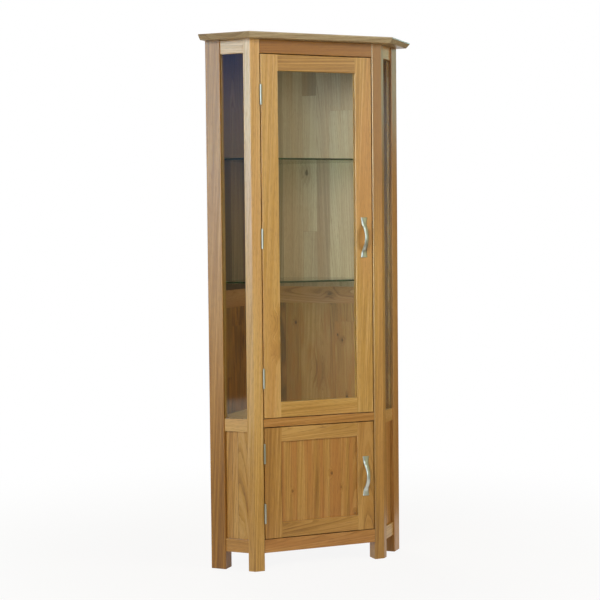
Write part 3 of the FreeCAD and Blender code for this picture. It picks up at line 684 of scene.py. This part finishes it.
@dataclass
class Back:
    """The two walls in the room's corner: a post, and a rail between two staved panels on each side."""

    post: Oak = Oak(seed=20)
    rail: Oak = Oak(Tone.CHESTNUT, cut=Cut.PLAIN, seed=21, streak=1.4, bulge_mm=5.0)
    upper_panel: Oak = Oak(cut=Cut.PLAIN, seed=24, blush=0.5, streak=1.2)
    lower_panel: Oak = Oak(cut=Cut.PLAIN, seed=24, blush=0.9, streak=1.2, cloud_mm=(26.0, 130.0),
                           sway_mm=(40.0, 260.0), stray_mm=15.0)
    # The left wall's tones are painted shade: it is the same oak as the right wall, in the shade inside the
    # cabinet.
    tones_and_shade: Mapping[tuple[Side, str], tuple[Tone, float]] = field(default_factory=lambda: {
        (Side.LEFT, "upper"): (Tone.DUSK, 0.0),
        (Side.LEFT, "lower"): (Tone.UMBER, -0.45),
        (Side.RIGHT, "upper"): (Tone.BEIGE, 0.05),
        (Side.RIGHT, "lower"): (Tone.UMBER, 0.0),
    })
    knots: Mapping[Side, tuple[Knot, ...]] = field(default_factory=lambda: {
        Side.RIGHT: (
            Knot(104.6, 134.4, 1354.1, 8.0, 0.75),
            Knot(165.5, 73.5, 915.1, 8.0, 0.55),
            Knot(70.7, 168.3, 809.6, 4.5),
            Knot(185.7, 53.3, 767.6, 3.5),
            Knot(198.7, 40.3, 748.4, 4.0),
            Knot(210.3, 28.8, 542.8, 5.0),
            Knot(136.9, 102.2, 634.6, 13.0, 0.0),
        ),
        Side.LEFT: (Knot(-152.0, 86.0, 1248.0, 7.0), Knot(-96.0, 142.0, 664.0, 6.0)),
    })
    corner: float = -185.03  # where both walls meet, along either wall's own direction
    seam_share: float = 0.25
    foot: Pair = (960.0, -0.55)  # the upper panels' lowest end joint, and the shade below it, which is painted shade below the lower shelf
    upper: tuple[Stave, ...] = (
        # The first stave's deep shades are painted shade in the corner by the back post.
        Stave(70.0, (-0.5, -0.3), (1389.0,)),
        Stave(108.0, (-0.05, -0.1), (1389.0,), 0.16),
        Stave(149.0, (0.0, 0.05), (1389.0,), 0.1),
        Stave(203.5, (-0.02, 0.2, -0.42), (1141.0, 1631.0)),
        Stave(252.0, (-0.24, 0.1), (1389.0,), 0.12),
        Stave(298.0, (0.18, 0.02), (1574.0,)),
        Stave(345.0, (0.08, -0.1), (1574.0,)),
        # The last three staves are deepened with painted shade, at the wall's far end by the rear post.
        Stave(396.0, (-0.5, -0.1), (1400.0,)),
        Stave(441.0, (-0.75, -0.3), (1400.0,)),
        Stave(500.0, (-0.95, -0.7), (1400.0,)),
    )
    lower: tuple[Stave, ...] = (
        # The first stave's deep shade is painted shade in the corner by the back post.
        Stave(76.0, (-0.5,)),
        Stave(135.5, (-0.12,), (), 0.05),
        Stave(199.0, (0.18,)),
        Stave(250.0, (0.12,)),
        Stave(268.5, (-0.16,)),
        Stave(345.0, (-0.04, -0.2), (816.0,)),
        Stave(392.0, (-0.05, 0.1), (640.0,)),
        Stave(443.0, (0.08,)),
        Stave(500.0, (-0.1,)),
    )

    def build(self) -> None:
        """Dresses the back."""
        dress_in_oak("back_post", self.post)
        for number, side in enumerate(Side):
            grain = Grain.RISING_RIGHT if side is Side.LEFT else Grain.RISING_LEFT
            knots = self.knots[side]
            dress_in_oak("back_rail_" + side.word,
                         replace(self.rail, grain=grain, seed=self.rail.seed + number, knots=knots))
            for level, panel, members in (("upper", self.upper_panel, self.upper),
                                          ("lower", self.lower_panel, self.lower)):
                tone, shade = self.tones_and_shade[side, level]
                # The shade below the foot's joint is painted shade below the lower shelf.
                joint, below = self.foot
                joints, shades = ((joint,), (below,)) if level == "upper" else ((), ())
                members = tuple(replace(stave, joints=joints + stave.joints,
                                        shades=tuple(shade + value for value in shades + stave.shades))
                                for stave in members)
                staves = Staves((side.value, -1.0, 0.0), members, self.corner, seam_share=self.seam_share)
                oak = replace(panel, seed=panel.seed + number, staves=staves, knots=knots, tone=tone)
                dress_in_oak(f"back_panel_{level}_{side.word}", oak)


@dataclass
class Boards:
    """The lying boards: the overhanging top, the two floors, and the cleats that carry them."""

    top: Oak = Oak(Tone.STRAW, Grain.ACROSS, Cut.PLAIN_WIDE, 30)
    floors: Oak = Oak(Tone.HONEY, Grain.ACROSS, Cut.PLAIN_WIDE, 31)
    cleats: Oak = Oak(Tone.AMBER, Grain.ACROSS, seed=33)
    strips: Staves = Staves((0.0, 1.0, 0.0), (
        Stave(-148.0, (0.04,)), Stave(-34.0, (-0.08,)), Stave(72.0, (0.05,)), Stave(166.0, (-0.03,)),
        Stave(280.0, (0.06,)),
    ))

    def build(self) -> None:
        """Dresses the boards."""
        dress_in_oak("top_slab", replace(self.top, staves=self.strips))
        for number, node in enumerate(("floor_board", "middle_board")):
            dress_in_oak(node, replace(self.floors, seed=self.floors.seed + number, staves=self.strips))
        dress_in_oak("board_cleats", self.cleats)


@dataclass
class Shelves:
    """The two glass shelves on their nickel pegs."""

    glass: FloatGlass = FloatGlass(face="#EAF4EE", edge="#1F5A44", shadow="#E4EAE5")

    def build(self) -> None:
        """Dresses the shelves and their pegs."""
        for node in ("glass_shelf_lower", "glass_shelf_upper"):
            dress(node, self.glass.material(node, Vector((0, 0, 1))))
        dress("shelf_pegs", NICKEL.material())


@dataclass
class BowHandle:
    """A die-cast bow handle on two flat feet, crowned in front, which rises from each foot in an S curve.

    The lengths are in millimetres.
    """

    node: str
    body: str
    foot_thickness: float = 4.5
    mid_thickness: float = 5.5
    foot: float = 12.0  # the flat front of each foot
    hollow_share: float = 0.3  # of the sum of both radii of the S curve
    mid_share: float = 0.54  # of the width at the feet
    edge: float = 0.9  # rounding of the blunt ends
    edge_share: float = 0.9
    side_share: float = 0.12  # of the thickness, below the crown
    crown_power: float = 0.9
    rings: int = 56
    around: int = 20
    crease: float = 40.0  # degrees from which an edge shows as one

    def build(self) -> None:
        """Builds the bow and puts it in the CAD handle's place."""
        low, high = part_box(self.node)
        middle = (low + high) / 2
        half = (high.z - low.z) / 2
        heights = [half * math.sin(math.pi * (n / self.rings - 0.5)) for n in range(self.rings + 1)]
        points, faces = [], []
        size = self.around + 3  # the crown's points and one more on each side
        for height in heights:
            for across, proud in self._section(height / MM, half / MM, (high - low) / MM):
                points.append((middle.x + across * MM, high.y - proud * MM, middle.z + height))
        for ring in range(self.rings):
            for n in range(size):
                start, after = ring * size + n, ring * size + (n + 1) % size
                faces.append((start, after, after + size, start + size))
        faces.append(tuple(reversed(range(size))))
        faces.append(tuple(range(self.rings * size, (self.rings + 1) * size)))
        mesh = bpy.data.meshes.new(self.node + "_bow")
        mesh.from_pydata(points, [], faces)
        mesh.shade_smooth()
        mesh.set_sharp_from_angle(angle=math.radians(self.crease))
        mesh.materials.append(NICKEL.material())
        bow = add_object(self.node + "_bow", mesh)
        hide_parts(self.node)
        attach(bow, self.body)
        LOG.info("%s: %s", bow.name, mesh.materials[0].name)

    def _section(self, height: float, half: float, size: Vector) -> list[Pair]:
        """Gives the outline of the bow at one height.

        Args:
            height: the height above the handle's middle.
            half: half the handle's length.
            size: the handle's whole size.

        Returns:
            Places across the handle and how proud of the door they stand.
        """
        flat = half - self.foot
        outer, inner = [self._rise(abs(height), flat, size.y, skin) for skin in (0.0, self.mid_thickness)]
        wide, slim = size.x / 2, size.x / 2 * self.mid_share
        width = slim + (wide - slim) * (height / half) ** 2
        to_end = min(1.0, (half - abs(height)) / self.edge)
        blunt = self.edge_share + (1 - self.edge_share) * math.sqrt(1 - (1 - to_end) ** 2)
        width, thick = width * blunt, (outer - inner) * blunt
        side = thick * self.side_share
        turns = [math.pi * n / self.around for n in range(self.around + 1)]
        crown = [(-width * math.cos(a), inner + side + (thick - side) * abs(math.sin(a)) ** self.crown_power)
                 for a in turns]
        return [(-width, inner)] + crown + [(width, inner)]

    def _rise(self, height: float, flat: float, top: float, skin: float) -> float:
        """Gives how far the S curve and the crown between both stand out.

        Args:
            height: the height above or below the handle's middle.
            flat: the height at which a foot's flat front starts.
            top: how far the middle of the bow stands out.
            skin: the depth below the front.

        Returns:
            The distance from the door, or zero inside it.
        """
        rise = top - self.foot_thickness
        radii = (flat ** 2 + rise ** 2) / (2 * rise)
        hollow = radii * self.hollow_share
        crown = radii - hollow
        if height < (crown - skin) * flat / radii:
            return top - crown + math.sqrt((crown - skin) ** 2 - height ** 2)
        past = max(0.0, flat - height)
        return max(0.0, self.foot_thickness + hollow - math.sqrt((hollow + skin) ** 2 - past ** 2))


@dataclass
class Door:
    """A door: two stiles, two rails, what they hold, its bow handle and its catch plate."""

    name: str
    boards: Mapping[str, Oak]

    def build(self) -> None:
        """Dresses the door's frame and hardware."""
        for place, oak in self.boards.items():
            dress_in_oak(f"{self.name}_{place}", oak)
        self.fill()
        BowHandle(self.name + "_handle", self.name).build()
        dress(self.name + "_handle_screws", ZINC.material())
        dress(self.name + "_catch_plate", ZINC.material())

    def fill(self) -> None:
        """Dresses what the frame holds."""
        raise NotImplementedError


@dataclass
class GlazedDoor(Door):
    """The upper door, with a pane in beads."""

    glass: FloatGlass = FloatGlass()
    beads: Oak = Oak(seed=50)

    def fill(self) -> None:
        """Dresses the pane and its beads."""
        dress(self.name + "_glass", self.glass.material(self.name, Vector((0, 1, 0))))
        dress_in_oak(self.name + "_beads", self.beads)


@dataclass
class PanelledDoor(Door):
    """The lower door, with a panel of upright staves."""

    panel: Oak = Oak(Tone.RUSSET, seed=48, blush=0.7, streak=1.9, cloud_mm=(24.0, 600.0))
    staves: Staves = Staves(Grain.ACROSS.value, (
        Stave(-103.0, (0.04,)), Stave(-84.0, (-0.02,), (), 0.1), Stave(-44.0, (0.08,)),
        Stave(-5.0, (-0.06,), (), 0.02), Stave(14.0, (0.05,), (), 0.12), Stave(38.0, (0.08,)),
        Stave(80.0, (-0.04,), (), 0.12), Stave(112.0, (0.03,)), Stave(150.0, (-0.04,), (), 0.1),
    ), seam_share=0.35)
    knots: tuple[Knot, ...] = (
        Knot(46.8, -203.7, 312.9, 4.5, 0.7),
        Knot(80.6, -203.7, 262.0, 3.0, 0.6),
        Knot(-98.5, -203.7, 262.0, 3.5, 0.6),
        Knot(132.5, -203.7, 167.1, 3.5, 0.6),
    )

    def fill(self) -> None:
        """Dresses the panel."""
        dress_in_oak(self.name + "_panel", replace(self.panel, knots=self.knots, staves=self.staves))


@dataclass
class Hardware:
    """Hinges, their screws and pins, and the magnetic catches."""

    hinges: tuple[str, ...] = HINGES
    screws: tuple[str, ...] = ("frame_hinge_screws", "upper_door_hinge_screws", "lower_door_hinge_screws")
    catches: tuple[str, ...] = ("upper_catch", "lower_catch")

    def build(self) -> None:
        """Dresses the hardware."""
        for nodes, finish in ((self.hinges, NICKEL), (self.screws, ZINC), (self.catches, MouldedPlastic())):
            for node in nodes:
                dress(node, finish.material())


@dataclass(frozen=True)
class Softbox:
    """A square area lamp that looks at the cabinet."""

    name: str
    place: Triple
    width: float
    radiance: float
    colour: str
    target: Triple = (0.0, 0.0, 0.9)
    unlit: tuple[str, ...] = ()  # pieces that a flag keeps the lamp off
    only: tuple[str, ...] = ()  # the pieces that the lamp lights, where flags keep it off all others
    shine_only: bool = True  # whether it gives gloss alone, as a window far off does

    def build(self) -> None:
        """Hangs the lamp."""
        lamp = bpy.data.lights.new(self.name, "AREA")
        lamp.shape = "SQUARE"
        lamp.size = self.width
        lamp.energy = self.radiance * self.width ** 2 * math.pi
        lamp.color = linear(self.colour)[:3]
        holder = add_object(self.name, lamp)
        holder.location = self.place
        aim = Vector(self.target) - Vector(self.place)
        holder.rotation_euler = aim.to_track_quat("-Z", "Y").to_euler()
        holder.visible_camera = False
        holder.visible_diffuse = not self.shine_only
        if self.only or self.unlit:
            group = bpy.data.collections.new(self.name + "_flags")
            for node in self.only or self.unlit:
                group.objects.link(bpy.data.objects[node])
            holder.light_linking.receiver_collection = group
            for member in group.collection_objects:
                member.light_linking.link_state = "INCLUDE" if self.only else "EXCLUDE"


PANES = ("side_glass_left", "side_glass_right", "upper_door_glass")
METAL = ("upper_door_handle_bow", "lower_door_handle_bow") + HINGES
HIGH_METAL = tuple(node for node in METAL if not node.startswith("lower_hinge"))
RIGHT_UPRIGHTS = ("front_post_right", "upper_door_latch_stile", "lower_door_latch_stile")
LEFT_WALL = ("back_panel_upper_left", "back_panel_lower_left", "back_rail_left")


@dataclass
class Studio:
    """A pale floor, a white surround, soft lamps and the camera at the photograph's angle."""

    camera_place: Triple = (-1.96062, -4.77885, 1.16155)
    yaw: float = 22.4967  # degrees to the right of +Y
    pitch: float = 2.8947  # degrees below the horizon
    roll: float = -0.5612
    lens: float = 87.8895
    floor_radius: float = 9.0
    floor_sides: int = 96
    lit_reach: Pair = (0.45, 2.2)  # metres from the cabinet between which the lit floor fades
    lit_share: float = 0.1
    floor_colour: str = "#E2DACA"
    ambient: float = 0.18
    room_radius: float = 6.0
    room_height: float = 3.4
    room_arc: Pair = (165.0, 410.0)  # degrees from +X; the open part lies behind the cabinet
    room_steps: int = 48
    ground_start: float = 0.9
    ground_lift: float = 0.002
    room_fade: Pair = (0.9, 2.6)  # heights between which its colour changes
    room_low: str = "#5E4C3A"
    room_high: str = "#84ACFF"
    room_turn: Pair = (4.0, -2.0)  # from its warm right side to its blue left side
    room_right: str = "#C2BE94"
    right_turn: Pair = (-0.5, 1.5)  # along X, where its pale right side fades in
    right_front: Pair = (-0.5, -1.6)  # the same along Y
    ceiling_edge: float = 0.05
    window: tuple[float, float, float, float] = (-5.1, -4.6, -2.6, -2.0)  # where a window fades in and out
    window_colour: str = "#EEF6F2"
    lamps: tuple[Softbox, ...] = (
        Softbox("cool_side", (-3.62, -1.53, 1.9), 1.8, 11.9, "#A2DBFF", unlit=PANES + METAL + ("top_slab",)),
        Softbox("cool_right", (3.1, 1.0, 2.3), 1.4, 1.6, "#BDFFEE", unlit=PANES + METAL),
        Softbox("edge_light", (-1.75, -5.45, 1.7), 1.6, 14.0, "#FFFFF4", unlit=PANES + METAL),
        Softbox("edge_wide", (-3.6, -3.4, 1.75), 2.6, 16.0, "#ECFFCE", only=RIGHT_UPRIGHTS),
        Softbox("cool_front", (0.7, -4.0, 2.5), 0.8, 4.0, "#59AAFF", unlit=PANES + METAL),
        Softbox("cool_slab", (3.1, 1.1, 2.2), 1.4, 2.8, "#94DCFF", only=("top_slab",)),
        Softbox("metal_light", (-2.6, -4.9, 1.4), 2.2, 3.3, "#DCF2FF", only=HIGH_METAL),
        Softbox("metal_side", (-4.6, -2.2, 1.9), 3.0, 3.4, "#DCF2FF", only=HIGH_METAL),
        Softbox("metal_face", (2.3, -4.7, 0.7), 2.4, 0.8, "#D6DEB4", only=METAL),
        Softbox("metal_top", (-0.9, -1.3, 3.1), 1.2, 4.3, "#DCF2FF", only=METAL),
        Softbox("metal_low", (-0.45, -0.75, 0.06), 0.7, 0.28, "#D8F0DC", only=METAL),
        Softbox("key", (-2.7, -2.9, 2.3), 1.6, 9.5, "#FFF8EC", unlit=METAL, shine_only=False),
        Softbox("fill", (2.9, -3.1, 2.2), 1.6, 8.6, "#FBF8EE", unlit=METAL + LEFT_WALL, shine_only=False),
        Softbox("back", (0.0, 3.0, 3.0), 1.8, 5.0, "#FFFAF0", shine_only=False),
    )

    def build(self) -> None:
        """Sets up the studio."""
        self._camera()
        self._world()
        self._floor()
        self._dim_room()
        for lamp in self.lamps:
            lamp.build()
        bpy.context.scene.view_settings.view_transform = "Standard"

    def _camera(self) -> None:
        """Places the camera."""
        yaw, pitch, roll = [math.radians(a) for a in (self.yaw, self.pitch, self.roll)]
        ahead = Vector((math.sin(yaw) * math.cos(pitch), math.cos(yaw) * math.cos(pitch), -math.sin(pitch)))
        level = Vector((math.cos(yaw), -math.sin(yaw), 0))
        upward = level.cross(ahead)
        right = level * math.cos(roll) + upward * math.sin(roll)
        up = upward * math.cos(roll) - level * math.sin(roll)
        data = bpy.data.cameras.new("camera")
        data.lens = self.lens
        camera = add_object("camera", data)
        turn = Matrix((right, up, -ahead)).transposed().to_4x4()
        camera.matrix_world = Matrix.Translation(self.camera_place) @ turn
        bpy.context.scene.camera = camera

    @staticmethod
    def _seen(add: Add) -> Socket:
        """Gives one for the rays that show the surround itself, and zero for those that carry its light.

        Args:
            add: adds a node.

        Returns:
            That number.
        """
        path = [add("LightPath", output=name) for name in
                ("Is Camera Ray", "Is Glossy Ray", "Is Transmission Ray")]
        either = add("Math", (path[0], path[1]), "MAXIMUM")
        return add("Math", (either, path[2]), "MAXIMUM")

    def _world(self) -> None:
        """Makes the surround: white to look at, and a modest even light on the cabinet."""
        world = bpy.data.worlds.new("white_surround")
        bpy.context.scene.world = world
        world.use_nodes = True
        world.node_tree.nodes.clear()
        add = partial(add_node, world.node_tree)
        strength = add("MapRange", {0: self._seen(add), 3: self.ambient, 4: 1.0})
        light = add("Background", {"Color": WHITE, "Strength": strength})
        add("OutputWorld", {"Surface": light})

    def _floor(self) -> None:
        """Lays the floor, which keeps the cabinet's shadow near it and is white further off."""
        ring = [Matrix.Rotation(math.tau * n / self.floor_sides, 3, "Z") @ Vector((self.floor_radius, 0, 0))
                for n in range(self.floor_sides)]
        mesh = bpy.data.meshes.new("floor")
        mesh.from_pydata(ring, [], [list(range(self.floor_sides))])
        floor = add_object("floor", mesh)
        material, add = new_material("painted_floor")
        paint = add("BsdfDiffuse", {"Color": linear(self.floor_colour)})
        white = add("Emission", {"Color": WHITE, "Strength": 1.0})
        here = add("TexCoord", output="Object")
        reach = add("VectorMath", (here,), "LENGTH", "Value")
        fade = add("MapRange", (reach, *self.lit_reach, 1 - self.lit_share, 1.0), SMOOTH)
        share = add("Math", (fade, self._seen(add)), "MULTIPLY")
        mixed = add("MixShader", (share, paint, white))
        add("OutputMaterial", {"Surface": mixed})
        mesh.materials.append(material)

    def _dim_room(self) -> None:
        """Puts up the dim side of the room behind the camera, which shows only in reflections."""
        start, end = self.room_arc
        profile = ((self.ground_start, self.ground_lift), (self.room_radius, self.ground_lift),
                   (self.room_radius, self.room_height), (0.0, self.room_height))
        turns = [Matrix.Rotation(math.radians(start + (end - start) * n / self.room_steps), 3, "Z")
                 for n in range(self.room_steps + 1)]
        points = [turn @ Vector((reach, 0, height)) for turn in turns for reach, height in profile]
        rows = len(profile)
        faces = [(rows * n + k, rows * (n + 1) + k, rows * (n + 1) + k + 1, rows * n + k + 1)
                 for n in range(self.room_steps) for k in range(rows - 1)]
        mesh = bpy.data.meshes.new("dim_room")
        mesh.from_pydata(points, [], faces)
        room = add_object("dim_room", mesh)
        room.visible_camera = room.visible_diffuse = room.visible_shadow = False
        material, add = new_material("dim_room_paint")
        along, deep, height = [add("SeparateXYZ", (add("TexCoord", output="Object"),), output=axis)
                               for axis in "XYZ"]
        ranges = (((height, self.room_fade), (along, self.room_turn)),
                  ((along, self.window[:2]), (along, self.window[:1:-1])),
                  ((along, self.right_turn), (deep, self.right_front)))
        blue, window, right = [
            add("Math", tuple(add("MapRange", (place, *fade), SMOOTH) for place, fade in pair), "MULTIPLY")
            for pair in ranges
        ]
        above = add("Math", (height, self.room_height - self.ceiling_edge), "GREATER_THAN")
        right = add("Math", (right, above), "MAXIMUM")
        colour: Any = linear(self.room_low)
        for share, paint in ((blue, self.room_high), (window, self.window_colour), (right, self.room_right)):
            colour = add("Mix", {0: share, 6: colour, 7: linear(paint)}, RGBA, 2)
        paint = add("Emission", {"Color": colour, "Strength": 1.0})
        bounces = add("LightPath", output="Glossy Depth")
        mirrored = add("Math", (bounces, 0.5), "GREATER_THAN")
        clear = add("BsdfTransparent")
        mixed = add("MixShader", (mirrored, clear, paint))
        add("OutputMaterial", {"Surface": mixed})
        mesh.materials.append(material)


def main() -> None:
    """Builds the sub-assemblies in order, then the studio."""
    logging.basicConfig(level=logging.INFO, format="%(message)s")
    parts = (
        Front(),
        # The rear posts' deeper low and high ends are painted shade.
        Return(Side.LEFT, Oak(Tone.TAWNY, cut=Cut.QUARTER, seed=7, shade=0.2, painted_end_shade=(-0.45, -0.4),
                              lacquer_roughness=0.42),
               # The left rails' paler mid rail is painted sheen, and their deeper bottom rail is painted
               # shade.
               Oak(seed=8), Oak(seed=12), shades=(0.08, 0.35, -0.2)),
        Return(Side.RIGHT, Oak(Tone.AMBER, cut=Cut.QUARTER, seed=13, shade=0.3, painted_end_shade=(-0.2, -0.8)),
               Oak(seed=14), Oak(Tone.AMBER, seed=18), shades=(-0.4, 0.0, 0.0)),
        Back(),
        Boards(),
        Shelves(),
        GlazedDoor("upper_door", {
            "hinge_stile": Oak(seed=40, shade=0.1, streak=1.4, band_mm=(3.0, 420.0), knots=(
                Knot(-143.0, -206.0, 833.0, 12.0, 0.0), Knot(-152.0, -206.0, 745.0, 9.0, 0.0))),
            "latch_stile": Oak(seed=41, blush=0.6, painted_end_shade=(0.0, -0.15)),
            "top_rail": Oak(Tone.HONEY, Grain.ACROSS, seed=42, shade=-0.3),
            "bottom_rail": Oak(Tone.HONEY, Grain.ACROSS, seed=43),
        }),
        PanelledDoor("lower_door", {
            "hinge_stile": Oak(Tone.RUSSET, seed=44, shade=-0.1),
            "latch_stile": Oak(Tone.RUSSET, cut=Cut.PLAIN, seed=45, shade=0.1),
            "top_rail": Oak(Tone.RUSSET, Grain.ACROSS, Cut.PLAIN, 46, shade=0.15),
            "bottom_rail": Oak(Tone.RUSSET, Grain.ACROSS, Cut.PLAIN, 47, shade=0.1),
        }),
        Hardware(),
        Studio(),
    )
    for part in parts:
        LOG.info("building %s", type(part).__name__)
        part.build()


if __name__ == "__main__":
    main()
